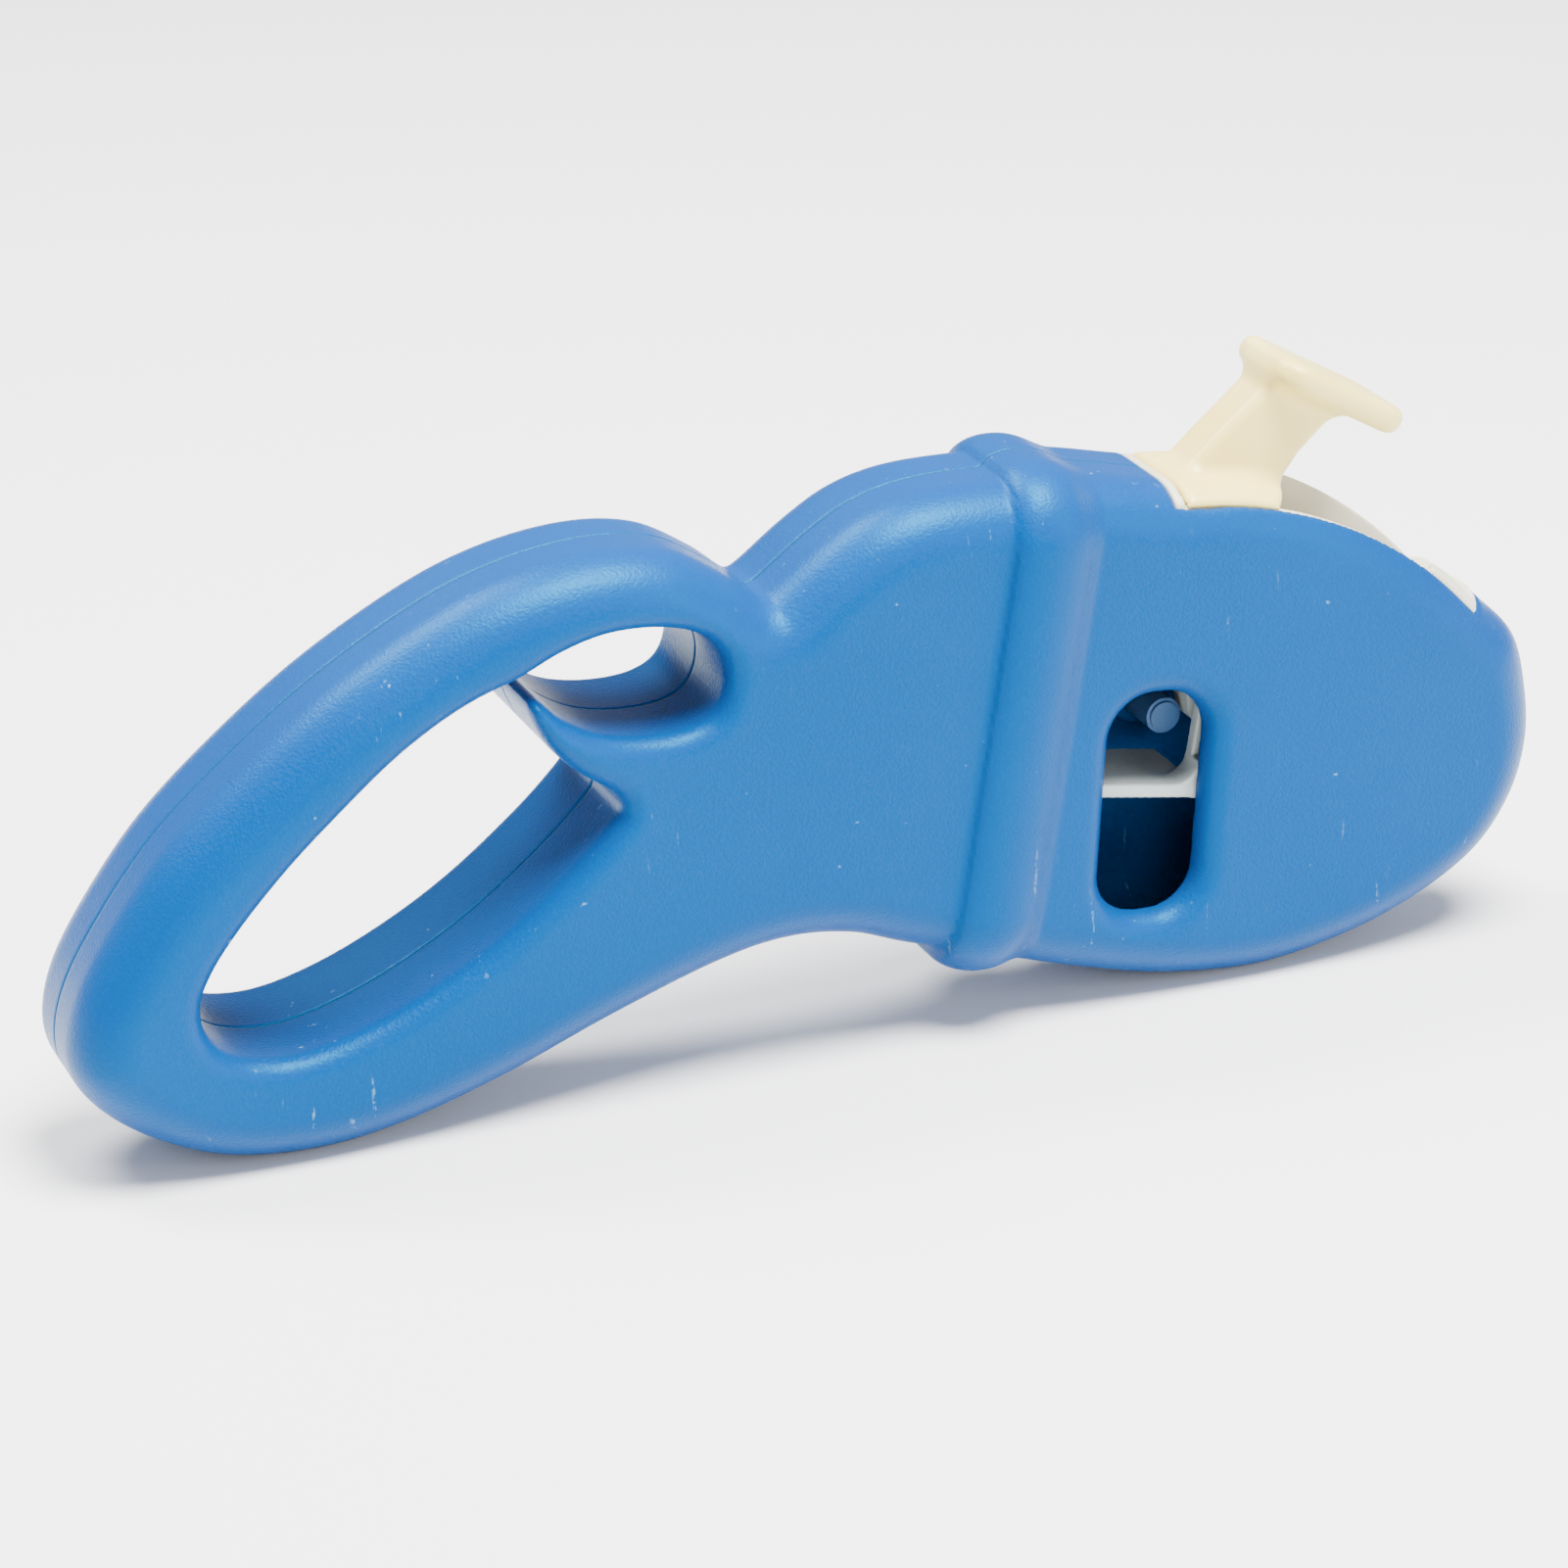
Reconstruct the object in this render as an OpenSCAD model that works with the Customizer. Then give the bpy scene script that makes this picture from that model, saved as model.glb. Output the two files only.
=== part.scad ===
// One-hand gate latch handle: two blue shells with a finger loop, a collar and a head
// that carries a thumb trigger on a curved track, and a latch bar behind a side window.
// X runs along the handle towards the nose, Y through its thickness, Z up.
// It stands on its lower edge; the origin is under the middle of that edge.

/* [Overall] */
// Length of the body from the end of the loop to the nose
body_len = 206; // [170:1:250]
// Height of the head above the surface the body stands on
head_h = 71.5; // [60:0.5:86]
// Thickness of the body across both shells
body_thick = 26; // [22:0.5:32]
// Wall of the shells
wall = 2.4; // [1.6:0.1:3.2]
// Rounding of the outer edges
edge_r = 8; // [4:0.5:9]
// Rounding of the rim of the finger opening
rim_r = 3; // [1.5:0.5:4]

/* [Collar] */
// Width of the finger guard bead
collar_w = 11; // [8:0.5:14]
// Height of the bead above the faces
collar_rise = 2.6; // [1:0.1:3.5]
// Lean of the bead towards the nose
collar_lean = 9.8; // [0:1:14]

/* [Window] */
// Height of the side window
win_h = 31.4; // [24:0.2:36]
// Width of the side window
win_w = 14.2; // [10:0.2:18]
// Lean of the window
win_lean = 4.5; // [0:0.5:5]
// Rounding of the window's rim
win_r = 3.6; // [2:0.2:4]

/* [Trigger] */
// Angle the trigger travels along its track
travel = 28; // [18:1:28]
// Angle that the saddle of the trigger covers on the track
saddle_span = 15.5; // [12:0.5:18]
// Width of the thumb pad
pad_w = 17; // [12:0.5:22]
// Length of the thumb pad
pad_len = 20.5; // [12:0.5:22]
// Thickness of the thumb pad
pad_t = 3.8; // [2.5:0.1:5]
// Width of the trigger's stem
stem_w = 8; // [5:0.5:11]

/* [Latch] */
// Thickness of the latch bar's shelf
shelf_t = 1.8; // [1.4:0.2:3]
// Depth of the shelf behind the window
shelf_d = 16; // [8:0.5:17]
// Slope of the latch bar down towards the nose
bar_slope = 10; // [4:1:12]

/* [Hidden] */
$fn = 48;
eps = 0.02;

blue = [0.18, 0.55, 0.78];
cream = [0.93, 0.90, 0.82];
white = [0.86, 0.87, 0.86];
steel = [0.72, 0.73, 0.75];
black = [0.12, 0.12, 0.13];
brass = [0.78, 0.62, 0.32];

// The outline was laid out for these sizes; others stretch it.
kx = body_len / 206;
kz = head_h / 71.5;
half_t = body_thick / 2;
inner_t = half_t - wall;
slip = 0.35;

// Centre of the curved track, which is also the centre of the crown
track_x = 46 * kx;
track_z = 8 * kz;
crown_r = head_h - track_z;

function on_arc(a, r) = [track_x + r * sin(a), track_z + r * cos(a)];
function scaled(list) = [for (p = list) [p[0] * kx, p[1] * kz]];

// Middle outline, clockwise from the end of the loop
loop_top = [[-103, 18], [-101.5, 25.5], [-96.5, 34], [-88.5, 44], [-78, 53.2], [-66, 61.8],
    [-52, 69.3], [-41, 73], [-30, 74.3], [-21, 73], [-14, 69], [-9.5, 65.3], [-8, 64.6],
    [-6.4, 65.2], [0, 69.8], [6.5, 73.4], [14, 75.2], [24, 75.3], [36, 74.4]];
nose_low = [[100.6, 42.3], [102.6, 35], [103, 27], [100.8, 19], [95.5, 11.6], [87, 6.2], [76, 2.2], [62, 0],
    [48, 1.3], [36, 4.4], [26, 7.6], [17, 10.6], [9.5, 13.2], [2, 16], [-7, 17], [-17, 15.4],
    [-32, 10.6], [-46, 5.4], [-60, 1.4], [-72, 0], [-84, 1.5], [-94, 6.2], [-100.5, 12]];
crown = [for (a = [3 : 8 : 51]) on_arc(a, crown_r)];
body_keys = concat(scaled(loop_top), crown, scaled(nose_low));

// Finger opening with the hook between the fingers, anticlockwise from its lower end
grip_keys = scaled([[-86.6, 24], [-85.6, 19.4], [-81.5, 16.2], [-74, 15.2], [-65, 17.2],
    [-55.5, 21.2], [-46.5, 26.4], [-37.5, 33.2], [-31.6, 38.6], [-30, 41], [-31, 43.4],
    [-35.5, 46.8], [-39.2, 50.8], [-41.2, 54.6], [-41.7, 57], [-40.2, 57.2], [-36.8, 54],
    [-32, 51.4], [-26, 50.2], [-20.4, 50.4], [-16.8, 52.2], [-15.3, 56], [-16, 60.2],
    [-19, 63], [-24.5, 64.6], [-31, 64.8], [-37, 63.4], [-43, 60.8], [-48.5, 59], [-54, 56.4],
    [-60, 52.6], [-67, 47], [-74, 40.9], [-80.5, 34.2], [-84.8, 28.6]]);

// Smooth closed curve through the keys
function curve_at(p0, p1, p2, p3, t) = 0.5 * (2 * p1 + (p2 - p0) * t
    + (2 * p0 - 5 * p1 + 4 * p2 - p3) * t * t + (3 * p1 - p0 - 3 * p2 + p3) * t * t * t);
function closed_curve(k, steps) = let (n = len(k)) [for (i = [0 : n - 1], s = [0 : steps - 1])
    curve_at(k[(i + n - 1) % n], k[i], k[(i + 1) % n], k[(i + 2) % n], s / steps)];
// Unit direction to the right of travel along a closed curve
function right_of(c, i) = let (n = len(c), d = c[(i + 1) % n] - c[(i + n - 1) % n])
    [d[1], -d[0]] / norm(d);

// The rim's rounding gets smaller towards the tip of the hook
hook_tip = [-41 * kx, 57.2 * kz];
function rim_at(p) = min(rim_r, 0.4 + 0.28 * norm(p - hook_tip));

body_line = closed_curve(body_keys, 3);
grip_line = closed_curve(grip_keys, 3);

// Ring that rounds an edge of a face: it follows a closed line and takes away all
// that lies outside a quarter round, whose radius is given for each point of the line
module edge_ring(line, radii) {
    arc_steps = 4;
    n = len(line);
    m = arc_steps + 4;
    function section(r) = concat([[-1, half_t + 1], [-1, half_t - r]],
        [for (i = [0 : arc_steps]) let (a = 90 * i / arc_steps)
            [r * (1 - cos(a)), half_t - r + r * sin(a)]],
        [[r, half_t + 1]]);
    points = [for (i = [0 : n - 1]) let (w = right_of(line, i))
        for (s = section(radii[i])) [line[i][0] + w[0] * s[0], line[i][1] + w[1] * s[0], s[1]]];
    // two triangles for each patch between neighbouring sections
    faces = [for (i = [0 : n - 1], j = [0 : m - 1])
        let (a = i * m + j, b = i * m + (j + 1) % m, c = ((i + 1) % n) * m + (j + 1) % m,
            d = ((i + 1) % n) * m + j)
        for (f = [[a, b, c], [a, c, d]]) f];
    polyhedron(points, faces, convexity = 8);
}

// Bead of the collar around half of the body, in a frame that leans with it
module collar_half() {
    low = 9.8 * kz;
    span = 65.5 * kz;
    bend = edge_r;
    side = half_t;
    root = -3;
    bead = concat([[root, -collar_w / 2]],
        [for (a = [-90 : 22.5 : 90]) [collar_rise * cos(a), collar_w / 2 * sin(a)]],
        [[root, collar_w / 2]]);
    translate([19.6 * kx, low, 0]) rotate(-collar_lean) {
        linear_extrude(side - bend) polygon([for (p = bead) [p[1], -p[0]]]);
        translate([0, span, 0]) linear_extrude(side - bend) polygon([for (p = bead) [p[1], p[0]]]);
        translate([0, span - bend, side]) rotate([90, 0, 0]) linear_extrude(span - 2 * bend)
            polygon([for (p = bead) [p[1], p[0]]]);
        translate([0, bend, side - bend]) rotate([180, 0, 0]) rotate([0, 90, 0]) rotate(0)
            rotate_extrude(angle = 90) polygon([for (p = bead) [bend + p[0], p[1]]]);
        translate([0, span - bend, side - bend]) rotate([0, 90, 0]) rotate(90)
            rotate_extrude(angle = 90) polygon([for (p = bead) [bend + p[0], p[1]]]);
    }
}

// Solid half of the body, drawn flat: x, height above ground, distance from the seam
module half_body() {
    difference() {
        linear_extrude(half_t) difference() {
            polygon(body_line);
            polygon(grip_line);
        }
        edge_ring(body_line, [for (p = body_line) edge_r]);
        edge_ring(grip_line, [for (p = grip_line) rim_at(p)]);
    }
    collar_half();
}

module front_side() multmatrix([[1, 0, 0, 0], [0, 0, -1, 0], [0, 1, 0, 0], [0, 0, 0, 1]])
    children();
module back_side() multmatrix([[1, 0, 0, 0], [0, 0, 1, 0], [0, 1, 0, 0], [0, 0, 0, 1]])
    children();

// Part of a ring about the track's centre, from angle a0 to a1 past upright
module sector(a0, a1) translate([track_x, track_z, 0]) rotate(90 - a1)
    rotate_extrude(angle = a1 - a0, $fn = 120) children();

// Height of the rounded crown above the track's centre, at a distance t from the seam
function crown_at(t) = crown_r - (abs(t) > half_t - edge_r
    ? edge_r - sqrt(edge_r * edge_r - pow(abs(t) - half_t + edge_r, 2)) : 0);
// Points of the crown's section between two distances from the seam
function crown_line(t0, t1, steps) = [for (i = [0 : steps]) let (t = t0 + (t1 - t0) * i / steps)
    [crown_at(t), t]];

// Room inside one shell, stepped so that the wall stays even under the rounded edge
module room(inset, top) linear_extrude(top) difference() {
    offset(delta = -inset) polygon(body_line);
    offset(delta = inset) polygon(grip_line);
}
module cavity() {
    translate([0, 0, -1]) room(wall, half_t - edge_r + 3);
    translate([0, 0, -1]) room(wall + 2.1, inner_t + 1);
}

// Screws that hold the shells together
screw_d = 2.9;
head_d = 5.8;
head_depth = 3.4;
insert_d = 4.6;
insert_len = 6;
head_spots = scaled([[15, 27], [38, 62], [82, 14]]);
handle_spots = scaled([[-94.5, 18.5], [-55, 12.5], [-4, 48]]);
all_spots = concat(head_spots, handle_spots);

module pillars() for (p = all_spots) translate([p[0], p[1], 0]) cylinder(d = 7.6, h = half_t - 1);

// Slot for the trigger in the crown
liner_a0 = 2.2;
liner_wall = 1.2;
saddle_a0 = liner_a0 + liner_wall + 0.5;
saddle_a1 = saddle_a0 + saddle_span;
bumper_span = 1.5;
liner_a1 = saddle_a1 + travel + bumper_span + liner_wall + 0.8;
liner_half = half_t - 2.7;
liner_in = liner_half - 1.4;
floor_out = crown_r - 7.5;
floor_in = crown_r - 9;
web_half = 2.6;
floor_slot = web_half + 0.4;
module crown_slot() sector(liner_a0 - 0.1, liner_a1 + 0.1)
    translate([crown_r - 12, -1]) square([20, liner_half + 1.05]);

// Side window
win_x = 44.7 * kx;
win_z = 28.2 * kz;
lip = 1.6;
module at_window() translate([win_x, win_z, 0]) rotate(-win_lean) children();
module oblong(w, h) {
    square([w, h - w], center = true);
    for (s = [-1, 1]) translate([0, s * (h - w) / 2]) circle(d = w);
}
module win_section() polygon(concat([[win_w / 2 - 0.5, half_t + 1], [win_w / 2 - 0.5, half_t - win_r]],
    [for (a = [0 : 15 : 90]) [win_w / 2 + win_r * (1 - cos(a)), half_t - win_r + win_r * sin(a)]],
    [[win_w / 2 + win_r, half_t + 1]]));
module win_cut() at_window() {
    translate([0, 0, 1]) linear_extrude(half_t) oblong(win_w, win_h);
    for (s = [-1, 1]) translate([0, s * (win_h - win_w) / 2, 0]) rotate_extrude() win_section();
    for (s = [0, 180]) rotate(s) translate([0, (win_h - win_w) / 2, 0]) rotate([90, 0, 0])
        linear_extrude(win_h - win_w) win_section();
}

// Frame of the latch bar: u along the bar, v up from its shelf
shelf_front = inner_t - 2.4;
bar_back = shelf_front - 4.4;
module at_bar() translate([48 * kx, 28.35 * kz, 0]) rotate(-bar_slope) children();
pin_r = 35.6 * kz;
pin_a = 19.9;
pin_d = 3;
pin_at = on_arc(pin_a, pin_r);
pin_off = pin_at - [48 * kx, 28.35 * kz];
pin_u = pin_off[0] * cos(bar_slope) - pin_off[1] * sin(bar_slope);
pin_v = pin_off[0] * sin(bar_slope) + pin_off[1] * cos(bar_slope);
// Travel of the bar, and the slack that the pin's arc needs in its slot
bar_travel = pin_r * (sin(pin_a - bar_slope + travel) - sin(pin_a - bar_slope));
pin_drop = pin_r * (cos(pin_a - bar_slope) - cos(pin_a - bar_slope + travel));
bow = pin_r * (sin(pin_a - bar_slope + travel / 2)
    - (sin(pin_a - bar_slope) + sin(pin_a - bar_slope + travel)) / 2);
slot_w = pin_d + bow + 0.85;
slot_u = pin_u + bow / 2;
arm_u0 = slot_u - slot_w / 2 - 1.5;
arm_u1 = slot_u + slot_w / 2 + 1.8;
arm_top = pin_v + 4.3;
tail_u = arm_u1 + bar_travel + 3;
tail_v = 5;
spring_v = pin_v - 2.5;
spring_t = bar_back + 1;
wall_u = arm_u1 + 21;
guide_u0 = arm_u1 + 1.2;

module latch_slab(u0, u1, v0, v1, t0, t1) translate([u0, v0, t0]) cube([u1 - u0, v1 - v0, t1 - t0]);

module front_shell() color(blue) front_side() difference() {
    union() {
        difference() {
            half_body();
            cavity();
        }
        pillars();
        at_window() translate([0, 0, inner_t - 1.8]) linear_extrude(3)
            oblong(win_w + 2 * lip, win_h + 2 * lip);
    }
    crown_slot();
    win_cut();
    for (p = all_spots) translate([p[0], p[1], -1]) {
        cylinder(d = insert_d + 0.04, h = insert_len + 1.5);
        cylinder(d = screw_d + 0.4, h = inner_t);
    }
    at_bar() for (p = guide_spots) translate([p[0], p[1], inner_t - 1]) cylinder(d = 2.1, h = 2.9);
}

post_at = [win_x + 6.5, win_z + 7.8];
module back_shell() color(blue) back_side() difference() {
    union() {
        difference() {
            half_body();
            cavity();
        }
        pillars();
        translate([post_at[0], post_at[1], inner_t - 3]) cylinder(d = 8, h = 4);
    }
    crown_slot();
    for (p = all_spots) translate([p[0], p[1], 0]) {
        translate([0, 0, -1]) cylinder(d = screw_d + 0.5, h = half_t + 2);
        translate([0, 0, half_t - head_depth]) cylinder(d = head_d + 0.5, h = head_depth + 1);
    }
    translate([post_at[0], post_at[1], inner_t - 4]) cylinder(d = 4.04, h = 4.6);
}

// Thumb pad, stem, saddle and the shoe that runs in the liner
keeper_spots = [saddle_a0 + 4.2, saddle_a1 - 4.2];
module keeper_bores(d, r0, r1) for (a = keeper_spots) translate([track_x, track_z, 0])
    rotate(-a) translate([0, r0, 0]) rotate([-90, 0, 0]) cylinder(d = d, h = r1 - r0);
stem_side = [[6.2, -1.5], [12.2, 3.2], [20.4, 10.1], [29.6, 4.8], [23.6, -0.4], [19.6, -5.6]];
module thumb_lever() color(cream) front_side() difference() {
    union() {
        sector(saddle_a0, saddle_a1) polygon(concat(
            crown_line(slip - liner_in, liner_in - slip, 10),
            [[crown_r - 3.4, liner_in - slip], [crown_r - 3.4, slip - liner_in]]));
        sector(saddle_a0 + 0.8, saddle_a1 - 0.8) translate([floor_out + slip, -7])
            square([crown_r - floor_out - 3, 14]);
        sector(saddle_a0 + 1.5, saddle_a1 - 1.5) translate([floor_in - slip, -web_half])
            square([4, 2 * web_half]);
        translate([track_x, head_h, -stem_w / 2]) linear_extrude(stem_w) polygon(stem_side);
        translate([track_x + 28.4, head_h + 7.4, 0]) rotate([0, 0, -30]) rotate([90, 0, 0])
            linear_extrude(pad_t, center = true) offset(r = 4) square([pad_len - 8, pad_w - 8],
            center = true);
    }
    keeper_bores(1.9, floor_in - 2, crown_r - 3.8);
}

// Shoe below the liner's floor, with the arm that carries the drive pin
keeper_out = floor_in - slip - 0.02;
keeper_in = keeper_out - 2.6;
module carriage_keeper() color(white) front_side() difference() {
    union() {
        sector(saddle_a0 + 1.5, saddle_a1 - 1.5) translate([keeper_in, -6.5])
            square([keeper_out - keeper_in, 13]);
        translate([0, 0, -2.1]) linear_extrude(4.2) hull() {
            translate(on_arc(12, keeper_in - 1.2)) circle(r = 3.6);
            translate(pin_at) circle(r = 3.5);
            translate(pin_at - [1.2, 4.3]) circle(r = 2.8);
        }
    }
    keeper_bores(2.5, keeper_in - 8, keeper_out + 1);
    keeper_bores(4.1, keeper_in - 8, keeper_in + 0.9);
    translate([pin_at[0], pin_at[1], -5]) cylinder(d = pin_d + 0.04, h = 10);
}
module keeper_screws() color(steel) front_side() {
    keeper_bores(1.86, keeper_in + 0.8, crown_r - 4);
    keeper_bores(3.8, keeper_in - 0.5, keeper_in + 0.9);
}

// Curved track: two walls, a floor with a slot for the web, and its ends
module slot_liner() color(white) front_side() {
    for (s = [-1, 1]) sector(liner_a0, liner_a1) polygon(concat(
        [[floor_in, s * floor_slot], [floor_in, s * liner_half]],
        crown_line(s * liner_half, s * liner_in, 2),
        [[floor_out, s * liner_in], [floor_out, s * floor_slot]]));
    for (a = [liner_a0, liner_a1 - liner_wall]) sector(a, a + liner_wall)
        polygon(concat(crown_line(-liner_half, liner_half, 14),
            [[floor_in, liner_half], [floor_in, -liner_half]]));
}
module nose_bumper() color(black) front_side()
    sector(liner_a1 - liner_wall - bumper_span, liner_a1 - liner_wall)
        translate([floor_out, -6]) square([crown_r - 2.5 - floor_out, 12]);

// Latch bar: shelf behind the window, upturned end with the slot for the drive pin, tail
module latch_bar() color(white) front_side() at_bar() {
    half_shelf = shelf_t / 2;
    latch_slab(-14.5, arm_u0, -half_shelf, half_shelf, shelf_front - shelf_d, shelf_front);
    latch_slab(arm_u0 - eps, arm_u1 + 1, -half_shelf, half_shelf, bar_back, shelf_front);
    latch_slab(arm_u1, tail_u, -half_shelf, tail_v, bar_back, shelf_front);
    difference() {
        latch_slab(arm_u0, arm_u1, -half_shelf, arm_top, bar_back, bar_back + 2);
        for (v = [pin_v, pin_v - pin_drop]) translate([slot_u, v, 0])
            cylinder(d = slot_w, h = half_t);
        latch_slab(slot_u - slot_w / 2, slot_u + slot_w / 2, pin_v - pin_drop, pin_v, 0, half_t);
    }
    // inner corner between shelf and upturned end
    corner = 3.4;
    translate([arm_u0 - corner, half_shelf - eps, bar_back])
        linear_extrude(shelf_front - bar_back) difference() {
            square([corner + 1.2, corner]);
            translate([0, corner]) circle(r = corner);
        }
    // seat of the spring
    latch_slab(arm_u1 - 0.8, arm_u1, spring_v - 2.9, spring_v + 2.9, bar_back - 1.4, bar_back + 3.6);
    translate([arm_u1 - eps, spring_v, spring_t]) rotate([0, 90, 0]) cylinder(d = 3, h = 2);
}

// Plate on the front shell with two rails for the bar's tail and the spring's wall
rail_t = bar_back + 2.4;
plate_t = inner_t - 1.6;
guide_spots = [[guide_u0 + 3, tail_v + 5.4], [guide_u0 + 17, tail_v + 5.4]];
module latch_guide() color(white) front_side() at_bar() difference() {
    union() {
        latch_slab(guide_u0, wall_u + 2, -shelf_t / 2 - 2.6, spring_v + 3, plate_t, inner_t);
        latch_slab(guide_u0, wall_u + 2, -shelf_t / 2 - 2.6, -shelf_t / 2 - slip, rail_t, plate_t + eps);
        latch_slab(guide_u0, wall_u + 2, tail_v + slip, tail_v + slip + 2, rail_t, plate_t + eps);
        latch_slab(wall_u, wall_u + 2, tail_v + slip, spring_v + 3, bar_back - 1.4, plate_t + eps);
        translate([wall_u - 2, spring_v, spring_t]) rotate([0, 90, 0]) cylinder(d = 3, h = 2.2);
    }
    for (p = guide_spots) translate([p[0], p[1], 0]) cylinder(d = 2.3, h = half_t);
}
module guide_screws() color(steel) front_side() at_bar() for (p = guide_spots)
    translate([p[0], p[1], 0]) {
        translate([0, 0, plate_t - 1.1]) cylinder(d = 4, h = 1.1);
        translate([0, 0, plate_t - 0.1]) cylinder(d = 2.06, h = 3.3);
    }

module drive_pin() color(steel) front_side() translate([pin_at[0], pin_at[1], -4.2]) difference() {
    cylinder(d = pin_d, h = bar_back + 2.2 + 4.2);
    translate([0, 0, 1]) difference() {
        cylinder(d = pin_d + 1, h = 0.8);
        cylinder(d = 2, h = 0.8);
    }
}
module drive_clip() color(steel) front_side() translate([pin_at[0], pin_at[1], -3.15])
    difference() {
        cylinder(d = 5.6, h = 0.7);
        translate([0, 0, -1]) cylinder(d = 2.04, h = 3);
        translate([-0.8, -4, -1]) cube([1.6, 4, 3]);
    }

// Post that the arm comes to rest against, with its sleeve
module rest_post() color(blue) back_side() translate([post_at[0], post_at[1], 0])
    translate([0, 0, -1]) cylinder(d = 4, h = inner_t + 1);
module post_sleeve() color(blue) back_side() translate([post_at[0], post_at[1], -0.6])
    difference() {
        cylinder(d = 5, h = inner_t - 3.2);
        translate([0, 0, -1]) cylinder(d = 4.04, h = inner_t);
    }

// Coil about its own axis, as a bent tube
module coil(r, wire, len, turns) {
    around = 14;
    sides = 6;
    n = turns * around;
    rise = (len - wire) / n;
    points = [for (i = [0 : n], j = [0 : sides - 1])
        let (a = 360 * i / around, b = 360 * j / sides, q = r + wire / 2 * cos(b))
        [q * cos(a), q * sin(a), wire / 2 + rise * i + wire / 2 * sin(b)]];
    sleeve = [for (i = [0 : n - 1], j = [0 : sides - 1])
        let (a = i * sides + j, b = i * sides + (j + 1) % sides, c = b + sides, d = a + sides)
        for (f = [[a, b, c], [a, c, d]]) f];
    ends = [for (j = [1 : sides - 2]) for (f = [[0, j + 1, j],
        [n * sides, n * sides + j, n * sides + j + 1]]) f];
    polyhedron(points, concat(sleeve, ends), convexity = 10);
}
module return_spring() color(steel) front_side() at_bar()
    translate([arm_u1 + 0.05, spring_v, spring_t]) rotate([0, 90, 0])
        coil(2.05, 0.8, wall_u - arm_u1 - 0.1, 6);

// Screws from the back, each in a threaded insert of the front shell
module shell_screw() {
    translate([0, 0, half_t - head_depth]) difference() {
        cylinder(d = head_d, h = 2.2);
        for (r = [0, 90]) rotate(r) translate([-1.8, -0.4, 1.2]) cube([3.6, 0.8, 2]);
    }
    translate([0, 0, -insert_len - 1]) cylinder(d = screw_d, h = insert_len + 1 + half_t - head_depth);
}
module head_screws() color(steel) back_side() for (p = head_spots)
    translate([p[0], p[1], 0]) shell_screw();
module handle_screws() color(steel) back_side() for (p = handle_spots)
    translate([p[0], p[1], 0]) shell_screw();
module screw_inserts() color(brass) front_side() for (p = all_spots)
    translate([p[0], p[1], 0.5]) difference() {
        cylinder(d = insert_d, h = insert_len);
        translate([0, 0, -1]) cylinder(d = screw_d + 0.04, h = insert_len + 2);
    }

front_shell();
back_shell();
thumb_lever();
carriage_keeper();
keeper_screws();
slot_liner();
nose_bumper();
latch_bar();
latch_guide();
guide_screws();
drive_pin();
drive_clip();
rest_post();
post_sleeve();
return_spring();
head_screws();
handle_screws();
screw_inserts();
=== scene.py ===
import bpy
import math
import numpy as np
from mathutils import Matrix, Vector


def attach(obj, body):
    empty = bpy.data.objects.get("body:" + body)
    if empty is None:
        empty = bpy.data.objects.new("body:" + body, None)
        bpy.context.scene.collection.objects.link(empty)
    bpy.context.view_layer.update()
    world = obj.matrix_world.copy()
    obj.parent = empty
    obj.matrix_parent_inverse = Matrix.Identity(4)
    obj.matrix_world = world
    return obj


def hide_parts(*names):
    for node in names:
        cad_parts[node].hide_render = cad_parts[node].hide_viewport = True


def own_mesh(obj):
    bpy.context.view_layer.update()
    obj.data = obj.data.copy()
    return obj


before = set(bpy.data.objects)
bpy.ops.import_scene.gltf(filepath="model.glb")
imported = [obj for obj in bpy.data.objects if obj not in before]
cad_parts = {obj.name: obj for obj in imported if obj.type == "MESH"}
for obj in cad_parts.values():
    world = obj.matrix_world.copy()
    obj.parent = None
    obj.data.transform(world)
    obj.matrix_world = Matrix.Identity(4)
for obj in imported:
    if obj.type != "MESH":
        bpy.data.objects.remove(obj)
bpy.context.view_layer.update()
mm = 0.001
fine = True

# sizes shared with the CAD, in millimetres
body = {
    "halfThick": 13.0, "wall": 2.4, "edge": 8.0, "rim": (3.3, 2.0),
    "track": (46.0, 8.0), "crown": 63.5,
    "step": 0.42 if fine else 0.7,
}
loopTop = [(-103, 18), (-101.5, 25.5), (-96.5, 34), (-88.5, 44), (-78, 53.2), (-66, 61.8),
    (-52, 69.3), (-41, 73), (-30, 74.3), (-21, 73), (-14, 69), (-9.5, 65.3), (-8, 64.6),
    (-6.4, 65.2), (0, 69.8), (6.5, 73.4), (14, 75.2), (24, 75.3), (36, 74.4)]
noseLow = [(100.6, 42.3), (102.6, 35), (103, 27), (100.8, 19), (95.5, 11.6), (87, 6.2), (76, 2.2), (62, 0),
    (48, 1.3), (36, 4.4), (26, 7.6), (17, 10.6), (9.5, 13.2), (2, 16), (-7, 17), (-17, 15.4),
    (-32, 10.6), (-46, 5.4), (-60, 1.4), (-72, 0), (-84, 1.5), (-94, 6.2), (-100.5, 12)]
gripKeys = [(-86.6, 24), (-85.6, 19.4), (-81.5, 16.2), (-74, 15.2), (-65, 17.2),
    (-55.5, 21.2), (-46.5, 26.4), (-37.5, 33.2), (-31.6, 38.6), (-30, 41), (-31, 43.4),
    (-35.5, 46.8), (-39.2, 50.8), (-41.2, 54.6), (-41.7, 57), (-40.2, 57.2), (-36.8, 54),
    (-32, 51.4), (-26, 50.2), (-20.4, 50.4), (-16.8, 52.2), (-15.3, 56), (-16, 60.2),
    (-19, 63), (-24.5, 64.6), (-31, 64.8), (-37, 63.4), (-43, 60.8), (-48.5, 59), (-54, 56.4),
    (-60, 52.6), (-67, 47), (-74, 40.9), (-80.5, 34.2), (-84.8, 28.6)]


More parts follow.
